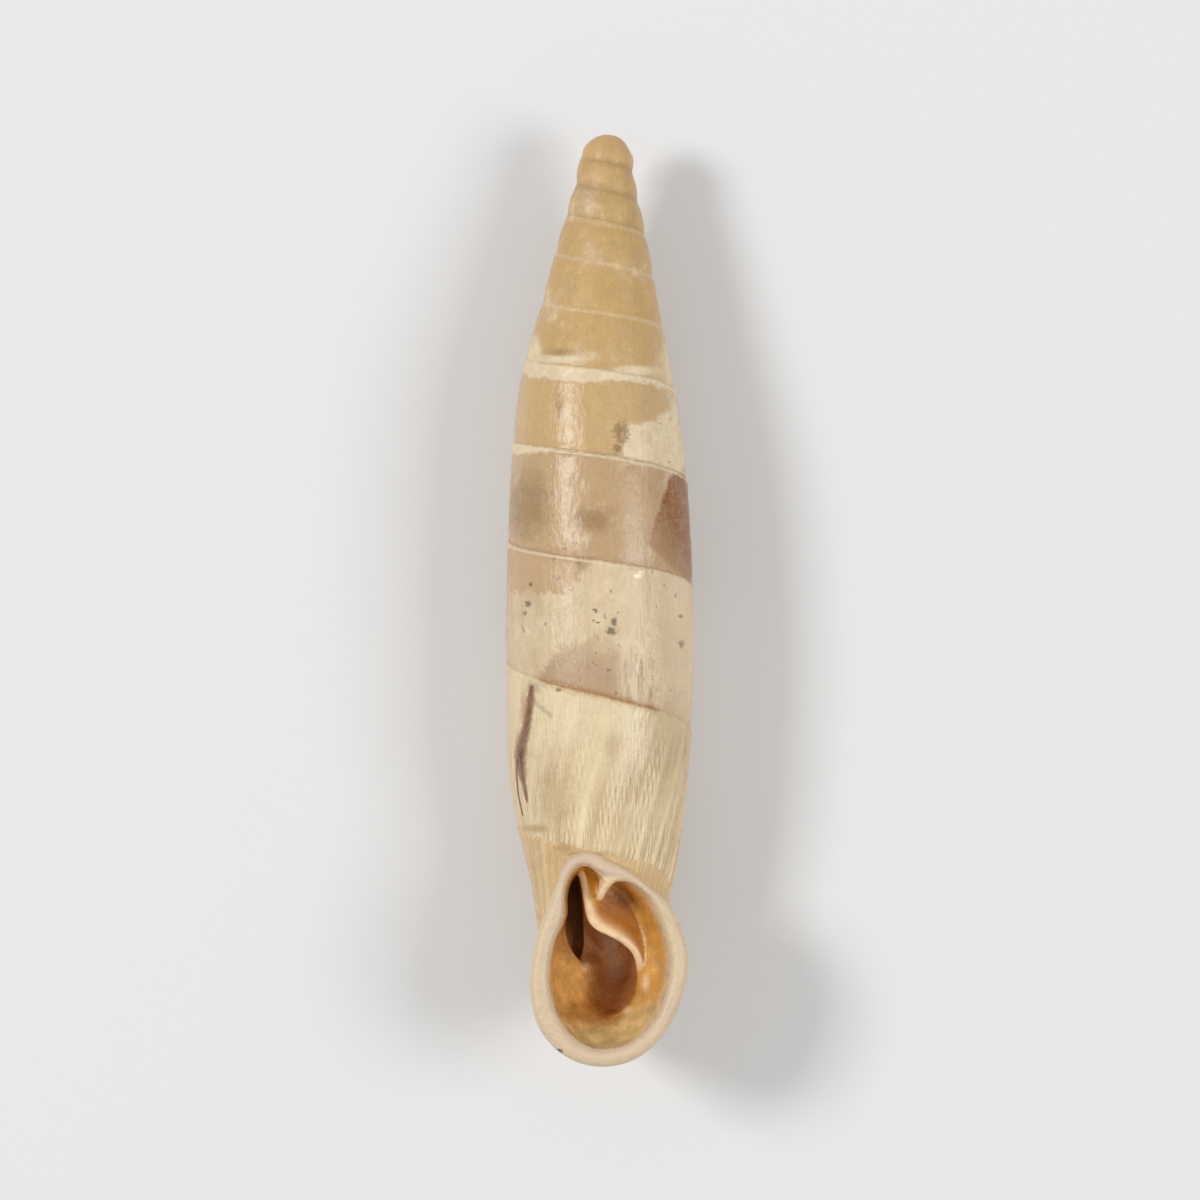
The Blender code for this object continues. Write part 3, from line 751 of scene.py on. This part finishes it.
# Marks on the upper side: colour, strength, and ovals with centre across and along, half width, half height
# and softness of the edge
marks = {
    "worn": ("worn", 1, [
        (-1.8, 6.68, 0.22, 0.42, 0.4), (-1.25, 6.44, 0.78, 0.11, 0.5), (0.92, 6.12, 0.58, 0.14, 0.4),
        (1.93, 6.55, 0.22, 1.0, 0.3), (2.2, 5.05, 0.3, 0.6, 0.4)]),
    "chalk": ("worn", 1, [(1.45, 4.05, 0.88, 0.71, 0.08), (2.1, 4.35, 0.6, 0.72, 0.12)]),
    "chip": ("chip", 0.9, [(1.01, 0.62, 0.1, 0.06, 0.5), (1.08, 0.72, 0.04, 0.04, 0.5)]),
    "brown": ("brown", 0.7, [
        (0.58, 4.44, 0.2, 0.27, 0.4), (0.47, 4.05, 0.11, 0.12, 0.6), (-1.11, -2.43, 0.08, 0.045, 0.5),
        (2.18, -1.2, 0.07, 0.1, 0.5), (-2.02, -0.37, 0.06, 0.05, 0.5), (2.17, -0.45, 0.06, 0.05, 0.5)]),
    "darkBrown": ("darkBrown", 0.75, [
        (-1.93, -0.12, 0.08, 0.09, 0.4), (-1.86, 0.4, 0.05, 0.05, 0.5), (0.3, -0.84, 0.13, 0.1, 0.4),
        (0.38, -0.6, 0.08, 0.09, 0.5), (-0.15, -0.27, 0.06, 0.03, 0.5), (-0.1, -0.34, 0.03, 0.04, 0.5),
        (-0.17, -0.56, 0.03, 0.03, 0.5), (-0.07, -0.62, 0.06, 0.03, 0.5)]),
    "ring": ("taupeLight", 0.7, [(0.61, 4.39, 0.07, 0.12, 0.6)]),
    "shade": ("shade", 0.62, [
        (-1.96, 2.52, 0.55, 0.85, 0.6), (-0.15, 2.14, 0.45, 0.3, 0.7), (-0.75, 0.95, 0.55, 0.22, 0.6),
        (-1.05, 6.62, 0.3, 0.1, 0.8), (-1.1, 5.2, 0.07, 0.4, 0.8)]),
    "grey": ("grey", 0.7, [(1.02, 1.84, 0.42, 1.0, 0.5)]),
    "taupe": ("taupeLight", 1, [(-1.6, 0.85, 0.95, 0.68, 0.12)]),
    "hill": ("taupe", 1, [(-0.02, -2.42, 1.58, 1.42, 0.14)]),
    "smudge": ("smudge", 0.5, [
        (1.72, -4.16, 0.4, 0.68, 0.6), (1.9, -3.79, 0.6, 1.2, 0.7), (-1.24, -5.13, 0.5, 0.95, 0.8),
        (0.3, -3.95, 0.22, 0.35, 0.8)]),
    # Painted highlights: pale broken streaks where the lamps shine on the last whorls
    "highlightStreak": ("highlightStreak", 0.6, [
        (0.95, -3.85, 0.3, 0.95, 0.8), (0.7, -5.0, 0.28, 0.8, 0.8), (-0.95, -0.35, 0.22, 0.6, 0.8)]),
    # A darker band just above the lip's top edge
    "darkAboveLip": ("darkAboveLip", 0.6, [
        (-0.98, -6.66, 0.26, 0.1, 0.7), (-0.3, -6.82, 0.6, 0.07, 0.7), (-1.75, -6.15, 0.3, 0.1, 0.7)]),
    "ash": ("ash", 0.5, [(-1.78, -2.38, 0.17, 0.15, 0.8)]),
    "halo": ("golden", 0.55, [
        (-2.02, -3.0, 0.1, 0.6, 0.8), (-2.19, -4.05, 0.09, 0.45, 0.8), (-1.9, -2.45, 0.05, 0.25, 0.8)]),
}

# Healed scar on the last whorl but one: points and half widths of its two branches and of its faint spur
scar = [
    [(-1.83, -2.34, 0.05), (-1.86, -2.62, 0.09), (-1.90, -3.00, 0.10), (-1.97, -3.40, 0.11),
     (-2.08, -3.85, 0.135), (-2.14, -4.25, 0.14), (-2.11, -4.60, 0.11), (-2.04, -4.95, 0.06),
     (-1.98, -5.30, 0.04), (-1.96, -5.45, 0.02)],
    [(-2.20, -4.30, 0.05), (-2.24, -4.70, 0.03), (-2.20, -5.20, 0.025), (-2.08, -5.80, 0.02)],
]
spur = [(-1.80, -2.68, 0.06), (-1.66, -2.84, 0.06), (-1.48, -2.98, 0.07), (-1.30, -3.14, 0.05)]


def readCoil(place):
    # What the coil's masks are worked out from: turn, share of the whorl, distances from the grooves,
    # the ribs' wave, clouds, and lines that follow the growth.
    at = SimpleNamespace(place=place)
    at.x, at.y, z = place.parts()
    at.turn, at.share = place.map("turns").parts()[:2]
    at.below, at.above = place.map("seams").parts()[:2]
    at.wave = place.map("relief").parts()[0]
    at.onTop = (z - coil["axisHeight"]).step(*skin["facingUp"])
    for name, cloud in skin["clouds"].items():
        setattr(at, name, place.noise(*cloud))
    for name in ("growth", "hairs"):
        stretch, roughness = skin[name]
        setattr(at, name, place.map("turns").vector("MULTIPLY", stretch).noise(1.0, 3.0, roughness))
    at.edge = 0.9 * at.ragged + 0.5 * at.grain
    at.lowerTurns = at.turn.step(5.0, 6.2) * (1 - at.turn.step(8.3, 8.8))
    return at


def mark(body, at, name, waver, boxy=False):
    # The mark's colour over the body, by its strength inside its ovals on the upper side.
    shade, strength, ovals = marks[name]
    return (strength * patches(at.place, ovals, waver, boxy) * at.onTop).mix(body, colour(*skin[shade]))


def freshSkin(at):
    # Ramp of colour over the turn, moved by clouds, with paler clouds and a rosy cast low on each side,
    # partly rosy clouds and partly a painted reflection on the sides and underside.
    stops = [(turn / skin["rampTurns"], colour(*value)) for turn, value in skin["byTurn"]]
    moved = (at.turn + 0.8 * at.broad + 0.5 * at.growth) / skin["rampTurns"]
    body = at.turn.node("ShaderNodeValToRGB", {"stops": stops}, {0: moved})
    body = (at.broad * 1.6 + at.ragged * 1.2).step(0.1, 0.75).mix(body, colour(*skin["worn"]))
    # Painted reflection: rosy where the surface is low on the sides and underneath, together with rosy
    # clouds.
    front = (at.turn * 2 * np.pi).math("SINE", at.turn * 2 * np.pi)
    rosy = (1 - front.step(0.1, 0.6)).most((at.broad - 0.6 * at.ragged).step(0.02, 0.3))
    return (0.35 * rosy).mix(body, colour(*skin["rosy"]))


def wearOff(body, at):
    # Worn places, where the skin has gone and the chalky layer shows: the greatest of the marked places,
    # ledges below two grooves and clouds on the belly. Also returns their mask.
    belly = (1 - at.onTop) * at.lowerTurns * (at.broad + 0.8 * at.ragged).step(0.02, 0.12)
    first = at.turn.step(5.9, 6.0) * (1 - 0.6 * at.turn.step(6.22, 6.36)) * (1 - at.turn.step(6.5, 6.6))
    second = at.turn.step(6.9, 7.0) * (1 - at.turn.step(7.05, 7.2))
    ledge = 1 - (at.below - (first * 0.36 + second * 0.26) + 0.5 * at.ragged).step(0.0, 0.09)
    ledge = ledge * at.lowerTurns * (1 - at.turn.step(7.6, 7.8))
    worn = patches(at.place, marks["worn"][2], 1.1 * at.ragged + 0.9 * at.grain)
    chalk = patches(at.place, marks["chalk"][2], 0.5 * at.ragged + 0.3 * at.grain, True)
    chalk = chalk * (1 - at.turn.step(6.75, 6.8))
    worn = (at.onTop * worn.most(chalk)).most(belly).most(ledge)
    worn = worn * (0.92 + 1.2 * at.ragged + 0.2 * at.grain).least(1.0)
    return worn.mix(body, colour(*skin["worn"])), worn


def darken(body, at):
    # Darker skin on the two whorls in the middle: marked patches, a rust-red one between two slanting
    # lines, and a hill with streaks on its right. Also returns the red's mask.
    x, y, edge = at.x, at.y, at.edge
    for name in ("shade", "grey"):
        body = mark(body, at, name, edge)
    body = mark(body, at, "taupe", edge, True)
    left = (x - 0.356 * y - 0.67 + 0.5 * edge).step(0.0, 0.14)
    low = (y + 0.95 * x - 2.63 + 0.5 * edge).step(0.0, 0.16)
    high = 1 - (y - 3.30 + 0.3 * edge).step(0, 0.1)
    mottled = 1 - 0.5 * (at.grain + 0.7 * at.ragged).step(0.03, 0.16)
    mottled = mottled * (0.9 + 1.6 * at.ragged + 1.4 * at.grain)
    red = left * low * high * mottled * (0.35 + 0.65 * (x + 0.5 * y - 2.1).step(0.0, 1.1)) * at.onTop
    body = red.mix(body, colour(*skin["red"]))
    hill = patches(at.place, marks["hill"][2], edge) * at.onTop * (1 - at.turn.step(8.6, 8.7))
    streaks = at.place.vector("MULTIPLY", (9.0, 1.3, 1)).noise(1.0, 3.0, 0.6)
    hill = hill * (1 - x.step(0.35, 0.8) * (1 - (streaks * 3).step(-0.15, 0.35)))
    body = (hill * (0.8 - 0.5 * (y + 1.0 + at.broad).step(-0.8, 0.0))).mix(body, colour(*skin["taupe"]))
    return mark(body, at, "smudge", edge), red


def drawSeams(body, at):
    # Pale threads just below the grooves, a darker tone in them, shade in the upper ones and the golden seam:
    # each falls with the distance from the groove. Also returns the masks of threads and of the darker tone.
    early = 1 - at.turn.step(4.4, 5.6)
    off = at.below - coil["threadBelow"]
    thread = 1 - (off.math("ABSOLUTE", off) / (0.05 + 0.02 * early) + 0.6 * at.grain).step(0.2, 1.4)
    threads = thread * (0.75 + 1.4 * at.growth + 0.8 * at.grain) * (0.4 + 0.6 * at.turn.step(5.2, 6.2))
    threads = threads * (1 - at.turn.step(8.2, 8.4)) * at.turn.step(2.6, 3.6)
    body = (0.85 * threads).mix(body, colour(*skin["thread"]))
    wound = at.turn + at.share
    # A darker tone in the grooves, falling off with the distance below and above the suture.
    darkBelowGroove = 1 - (at.below + 0.12 * at.grain).step(0.0, 0.045)
    darkTone = darkBelowGroove.most(1 - (at.above + 0.12 * at.grain).step(0.0, 0.075))
    darkTone = darkTone * at.turn.step(5.4, 7.0) * (1 - 0.6 * wound.step(8.6, 9.0)) * (1 - wound.step(10.0, 10.3))
    body = (0.5 * darkTone).mix(body, colour(*skin["groove"]))
    near = at.below.least(at.above) + 0.12 * at.grain
    dip = (1 - near.step(-0.05, 0.20)) * (1 - at.turn.step(1.8, 3.2)) * wound.step(1.0, 1.3)
    body = (0.45 * dip).mix(body, colour(*skin["shade"]))
    golden = 0.65 * (1 - near.step(-0.02, 0.12)) + 0.3 * (1 - near.step(0.0, 0.24))
    golden = golden * wound.step(8.8, 9.0) * (1 - wound.step(9.7, 9.8)) * at.onTop
    wavering = at.x + 0.3 * at.ragged
    golden = golden * wavering.step(-1.75, -1.5) * (1 - wavering.step(1.4, 1.65))
    return golden.mix(body, colour(*skin["golden"])), threads, darkTone


def drawRibs(body, at, worn):
    # Painted highlight streaks, a darker colour in the valleys of the ribs' wave, and a grey tint by the
    # ribs, growth lines, hair lines and clouds.
    ribbed = at.turn.step(8.4, 9.3) * (0.3 + 0.7 * at.share.step(*ribs["grow"]))
    # Painted highlight: pale streaks in the marked ovals, broken by growth lines and grain.
    shade, strength, ovals = marks["highlightStreak"]
    paintedStreaks = patches(at.place, ovals, 0.8 * at.grain) * (at.growth + 0.8 * at.grain).step(-0.12, 0.25)
    body = (strength * paintedStreaks * at.onTop).mix(body, colour(*skin[shade]))
    # A darker colour in the valleys of the ribs' wave, and below it a tint lighter on the crests and darker
    # in the valleys.
    body = ((0.5 - 0.5 * at.wave).step(0.1, 1.0) * ribbed * 0.5).mix(body, colour(*skin["ribValley"]))
    tint = 1 + 0.07 * at.wave * ribbed + at.growth * (0.16 - 0.08 * ribbed) + at.hairs * (0.14 - 0.1 * ribbed)
    tint = tint + (0.28 - 0.1 * worn) * at.grain + 0.09 * at.dust
    return body.tint(tint + at.ragged * (0.18 + 0.3 * (1 - at.turn.step(4.0, 6.0))))


def drawSpots(body, at):
    # Spots, an ash-grey stain, a darker band just above the lip, the scar with its brown rim and faint spur,
    # and specks where a cloud is high.
    fine = 2.2 * at.grain + 0.8 * at.dust
    wavers = {"brown": fine, "ring": fine, "darkBrown": fine, "chip": at.grain, "ash": at.edge,
              "darkAboveLip": at.edge, "halo": at.edge}
    for name, waver in wavers.items():
        body = mark(body, at, name, waver)
    cut = lines(at.place, spur, 0.9 * at.grain + 1.2 * at.ragged) * at.onTop
    body = (0.4 * cut).mix(body, colour(*skin["spur"]))
    for chain in scar:
        cut = lines(at.place, chain, 0.9 * at.grain + 1.0 * at.ragged) * at.onTop
        body = (0.6 * cut.step(0, 0.3)).mix(body, colour(*skin["halo"]))
        body = (cut.step(0.1, 1.1) * (0.76 + 1.1 * at.ragged)).mix(body, colour(*skin["scar"]))
    specks = (at.speckClouds + 0.2 * at.broad).step(0.235, 0.26) * at.lowerTurns
    return (0.5 * specks).mix(body, colour(*skin["brown"]))


def paintCoil():
    # Layers of colour from the fresh skin to the spots. The surface is smoother and glossier on the
    # lower whorls, duller where it is worn, and its bump is a sum of lines, dimples and grain.
    made, place = startFinish("grownShell")
    at = readCoil(place)
    body, worn = wearOff(freshSkin(at), at)
    body, red = darken(body, at)
    body, threads, darkTone = drawSeams(body, at)
    body = drawSpots(drawRibs(body, at, worn), at)
    glossy = at.turn.step(4.2, 6.4)
    roughness = 0.46 - 0.14 * glossy + 0.16 * worn + 0.10 * at.turn.step(7.8, 8.6) + 0.25 * at.grain
    roughness = roughness + 0.1 * darkTone + 0.25 * at.ragged
    dimples = place.vector("MULTIPLY", (6.5, 3.2, 6.5)).noise(1.0, 2.0, 0.5)
    height = 0.006 * at.growth * at.turn.step(2.0, 5.0) + 0.005 * at.hairs * at.turn.step(1.0, 3.0)
    height = height + 0.002 * at.dust + (0.009 - 0.005 * glossy) * at.grain + 0.028 * dimples
    height = height - 0.012 * worn + 0.006 * threads
    coat = 0.04 + 0.11 * glossy * (1 - 0.6 * worn) * (1 - 0.8 * red)
    return endFinish(made, body, roughness, height, coat, gloss)


mouth = {
    "lip": (219, 196, 163),
    "lipPink": (214, 185, 162),
    "neck": (208, 171, 123),
    "neckPale": (220, 190, 142),
    "orange": (200, 143, 66),
    "floor": (224, 170, 98),
    "deep": (208, 142, 74),
    "yellow": (214, 180, 122),
    "mauve": (192, 136, 88),
    "fold": (244, 210, 166),
    "amber": (176, 108, 30),
    # Amber darkened as a painted shadow under the tooth
    "darkAmber": (146, 84, 6),
    # Amber brightened as a painted glow of light through the thin shell
    "olive": (222, 168, 66),
    "darkTone": (66, 44, 34),
    "lipDirt": [(-1.13, -12.10, 0.14, 0.07, 0.4), (-1.35, -11.98, 0.05, 0.04, 0.5)],
    # Pale flecks on the floor; the two on the right wall, at across 1.12 and 1.22, are painted highlights
    "flecksAndGlints": [(-0.40, -9.90, 0.09, 0.11, 0.6), (-0.20, -10.22, 0.07, 0.07, 0.6),
               (1.12, -9.30, 0.05, 0.12, 0.6), (1.22, -10.30, 0.10, 0.20, 0.8),
               (0.72, -11.02, 0.12, 0.10, 0.8)],
    # Painted light: the left floor made brighter, as if lit by light shining through the thin shell
    "lightFloor": [(-0.75, -10.00, 0.75, 1.30, 0.6)],
    # Painted shade in the dark hollow at the bottom of the mouth
    "darkHeel": [(-0.45, -11.05, 0.55, 0.35, 0.7), (0.15, -11.20, 0.35, 0.20, 0.7)],
    "shelfEnd": [(1.30, -9.80, 0.30, 0.45, 0.7)],
    "pillar": [(0.32, -9.42, 0.30, 0.50, 0.8)],
    # Painted light: the channel left of the tooth in a bright olive, as if lit through the thin shell
    "channel": [(-0.22, -7.40, 0.40, 0.45, 0.7)],
    # Painted shadow on the amber under the tooth
    "underTooth": [(0.24, -8.12, 0.24, 0.30, 0.7), (0.62, -8.08, 0.45, 0.40, 0.8)],
    # Places on the lining, from first to last: strength and colour
    "liningMarks": [("lightFloor", 0.8, "floor"), ("darkHeel", 0.6, "amber"), ("shelfEnd", 0.7, "floor"),
                    ("pillar", 0.6, "fold"), ("channel", 0.7, "olive"), ("underTooth", 0.5, "darkAmber")],
}


def paintLip():
    # Cream and rosy clouds on the rolled lip, which give way to the neck's tan with depth below the
    # crown, under a grey tint by rings that follow the lip and by clouds.
    made, place = startFinish("lipShell")
    depth = lip["crownHeight"] - place.parts()[2]
    broad, ragged = place.noise(0.9, 3.0), place.noise(3.0, 4.0)
    grain, dust = place.noise(12.0, 4.0, 0.6), place.noise(42.0, 2.0)
    rosy = (broad * 2 + ragged * 1.8).step(-0.1, 0.6)
    lipColour = rosy.mix(colour(*mouth["lip"]), colour(*mouth["lipPink"]))
    rings = place.map("turns").vector("MULTIPLY", (60.0, 5.0, 1)).noise(1.0, 3.0, 0.6)
    neckColour = ragged.step(-0.3, 0.35).mix(colour(*mouth["neck"]), colour(*mouth["neckPale"]))
    body = (depth + 0.5 * ragged).step(0.2, 0.75).mix(lipColour, neckColour)
    body = body.tint(1 + 0.16 * rings + 0.20 * ragged + 0.22 * grain + 0.08 * dust)
    body = (0.8 * patches(place, mouth["lipDirt"], 1.4 * grain)).mix(body, colour(*mouth["darkTone"]))
    roughness = 0.42 + 0.3 * grain + 0.06 * depth.step(0.3, 0.8)
    height = 0.006 * rings * depth.step(0.25, 0.6) + 0.012 * grain + 0.06 * ragged + 0.0015 * dust
    return endFinish(made, body, roughness, height, 0.05, gloss)


def paintLining():
    # Yellow low in the mouth to orange above, then deeper colours with depth below the crown, the mauve
    # of the deep hollow partly painted shade, then the marked places, some of them painted light and
    # shade, the pale rim by the lip and a few pale flecks, two of them painted highlights, under a tint by
    # clouds.
    made, place = startFinish("mouthLining")
    x, y, z = place.parts()
    depth = lip["crownHeight"] - z
    broad, ragged, grain = place.noise(0.9, 3.0), place.noise(2.4, 4.0, 0.6), place.noise(10.0, 3.0)
    warm = (y + 0.6 * broad).step(-11.4, -10.2)
    body = warm.mix(colour(*mouth["yellow"]), colour(*mouth["orange"]))
    body = (depth + 0.8 * ragged).step(1.0, 2.2).mix(body, colour(*mouth["deep"]))
    # Mauve deep in the hollow: the shell's colour there, darkened in part as painted shade.
    body = ((depth + 0.6 * ragged).step(1.9, 2.8) * 0.7).mix(body, colour(*mouth["mauve"]))
    for name, strength, shade in mouth["liningMarks"]:
        body = (strength * patches(place, mouth[name], ragged)).mix(body, colour(*mouth[shade]))
    rim = depth - 0.15 * (x - 0.6).step(0.0, 0.9)
    pale = (1 - (rim + 0.35 * ragged).step(0.0, 0.55)).most(0.4 * (ragged + 0.5 * grain).step(0.2, 0.3))
    body = pale.mix(body, colour(*mouth["lip"]))
    # Pale flecks, two of them painted highlights on the right wall.
    body = (0.7 * patches(place, mouth["flecksAndGlints"], 2.0 * grain)).mix(body, colour(*mouth["fold"]))
    body = body.tint(1 + 1.2 * ragged + 0.35 * grain)
    return endFinish(made, body, 0.3 + 0.2 * grain, 0.06 * ragged + 0.014 * grain, 0.15, gloss)


def paintFold():
    # Pale along the free edge, and amber on the broad sides by the distance from that edge and by depth.
    # Around is 0 and 1 at the free edge and a half at the root. The amber turns from olive at the upper
    # end, a painted glow of light through the thin shell, to orange; a painted shadow darkens it under the
    # tooth, and the right end takes the floor's colour.
    made, place = startFinish("foldShell")
    along, around = place.map("turns").parts()[:2]
    ragged, grain = place.noise(2.4, 4.0, 0.6), place.noise(10.0, 3.0)
    fromEdge = 0.5 - (around - 0.5).math("ABSOLUTE", around - 0.5)
    depth = lip["crownHeight"] - place.parts()[2]
    thinner = 0.06 * (1 - along.step(0.3, 0.55)) * depth.step(0.4, 0.8)
    band = (fromEdge + 0.1 * ragged + thinner).step(0.18, 0.36)
    upperEnd = 0.4 * (1 - along.step(0.0, 0.1))
    inside = (band * (depth + 0.3 * ragged).step(0.45, 0.8)).most(upperEnd)
    amber = (along + 0.2 * ragged).step(0.2, 0.34).mix(colour(*mouth["olive"]), colour(*mouth["amber"]))
    amber = (along + 0.3 * ragged).step(0.5, 0.9).mix(amber, colour(*mouth["orange"]))
    body = inside.mix(colour(*mouth["fold"]), amber)
    body = (along + 0.15 * ragged).step(0.82, 0.98).mix(body, colour(*mouth["floor"]))
    body = (0.6 * (1 - depth.step(0.0, 0.2))).mix(body, colour(*mouth["lip"]))
    # Painted shadow under the tooth: the amber sides darkened there.
    toothShadow = patches(place, mouth["underTooth"], ragged) * inside
    body = (0.75 * toothShadow).mix(body, colour(*mouth["darkAmber"]))
    body = body.tint(1 + 0.5 * ragged + 0.3 * grain)
    return endFinish(made, body, 0.38 + 0.3 * grain, 0.03 * ragged + 0.008 * grain, 0.06, gloss)


finishes = {
    "grownShell": paintCoil(),
    "lipShell": paintLip(),
    "mouthLining": paintLining(),
    "foldShell": paintFold(),
}
materials = [finishes[finish] for finish in finishOf.values()]
print("finishes ready")

shell = makeCoil()
tools = [
    (makeNeck(), "UNION"),
    (makeMouthHollow(), "DIFFERENCE"),
    (makeCoilHollow(), "DIFFERENCE"),
    (makeFold("lower"), "UNION"),
    (makeFold("upper"), "UNION"),
    (makeGround(), "DIFFERENCE"),
]
for tool, operation in tools:
    addBoolean(shell, tool, operation)
print("coil, neck, hollows and folds made")

graph = bpy.context.evaluated_depsgraph_get()
joined = bpy.data.meshes.new_from_object(shell.evaluated_get(graph), preserve_all_data_layers=True,
                                         depsgraph=graph)
shell.modifiers.clear()
shell.data = joined
for tool, operation in tools:
    bpy.data.objects.remove(tool, do_unlink=True)
dropSlivers(joined)
slots = softenJoins(joined)
joined.materials.clear()
for material in finishes.values():
    joined.materials.append(material)
order = np.array([list(finishes).index(finish) for finish in finishOf.values()])
joined.polygons.foreach_set("material_index", order[slots])
joined.shade_smooth()
shell.name = "doorSnailShell"
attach(shell, "root")
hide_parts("shell")
print("shell joined,", len(joined.polygons), "faces")

studio = {
    "distance": 450.0,
    "shift": -0.02,
    "frameHeight": 1.291,  # height of the picture over the shell's length
    "floorHalf": 0.5,
    "nearest": 0.01,
    "world": 0.45,
    "floor": (0.8, 0.8, 0.8, 1),
    "lamps": {"window": {"place": (-0.22, 0.06, 0.24), "size": 0.08, "power": 0.5},
              "softbox": {"place": (0.2, -0.02, 0.22), "size": 0.12, "power": 0.3}},
}

camera = bpy.data.cameras.new("camera")
camera.lens = camera.sensor_width * studio["distance"] * mm / ((highest.y - lowest.y) * studio["frameHeight"])
camera.clip_start = studio["nearest"]
cameraStand = bpy.data.objects.new("camera", camera)
cameraStand.location = (0, studio["shift"] * mm, (coil["axisHeight"] + studio["distance"]) * mm)
bpy.context.collection.objects.link(cameraStand)
bpy.context.scene.camera = cameraStand

floorMesh = bpy.data.meshes.new("floor")
half = studio["floorHalf"]
floorCorners = [(-half, -half, 0), (half, -half, 0), (half, half, 0), (-half, half, 0)]
floorMesh.from_pydata(floorCorners, [], [(0, 1, 2, 3)])
floor = bpy.data.objects.new("floor", floorMesh)
floorPaint = bpy.data.materials.new("floor")
floorPaint.use_nodes = True
floorPaint.node_tree.nodes["Principled BSDF"].inputs["Base Color"].default_value = studio["floor"]
floorMesh.materials.append(floorPaint)
bpy.context.collection.objects.link(floor)

world = bpy.data.worlds.new("world")
bpy.context.scene.world = world
world.use_nodes = True
world.node_tree.nodes["Background"].inputs["Color"].default_value = (1, 1, 1, 1)
world.node_tree.nodes["Background"].inputs["Strength"].default_value = studio["world"]
for name, lamp in studio["lamps"].items():
    light = bpy.data.lights.new(name, "AREA")
    light.size = lamp["size"]
    light.energy = lamp["power"]
    stand = bpy.data.objects.new(name, light)
    stand.location = lamp["place"]
    stand.rotation_euler = (-Vector(lamp["place"])).to_track_quat("-Z", "Y").to_euler()
    bpy.context.collection.objects.link(stand)
bpy.context.scene.view_settings.view_transform = "Standard"
print("studio ready")
